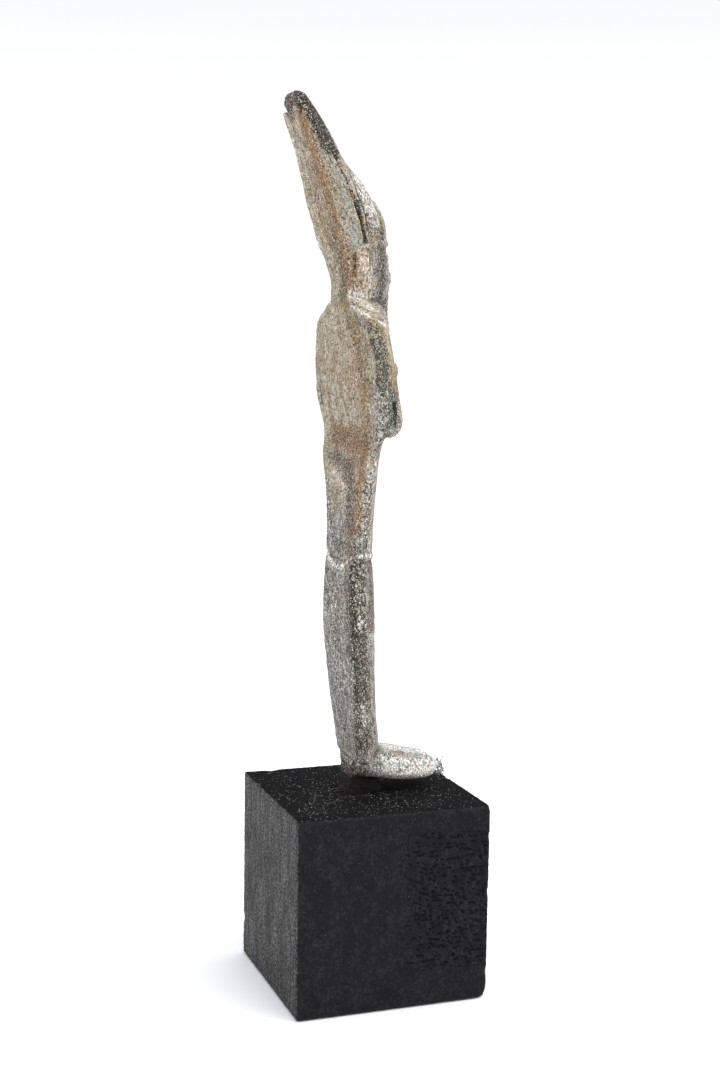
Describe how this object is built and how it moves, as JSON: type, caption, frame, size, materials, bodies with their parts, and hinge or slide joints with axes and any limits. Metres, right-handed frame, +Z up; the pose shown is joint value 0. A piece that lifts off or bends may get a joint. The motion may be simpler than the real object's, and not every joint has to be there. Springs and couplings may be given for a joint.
{
  "type": "osiris statuette",
  "caption": "Flat-backed standing Osiris in corroded bronze with a plumed crown and crossed arms, its tang set in a black wooden cube.",
  "frame": {"origin": "middle of the wooden block's underside", "axes": "+Z up along the figure, -Y the way the figure faces, +X towards the figure's own left"},
  "size_m": [0.0386, 0.0404, 0.1778],
  "materials": {
    "weathered_bronze": "rough grey-brown corrosion with ochre streaks and dark pits",
    "black_stained_wood": "matt black stain with fine open grain"
  },
  "bodies": {
    "root": {"statuette": "weathered_bronze", "wooden_block": "black_stained_wood"}
  },
  "joints": []
}
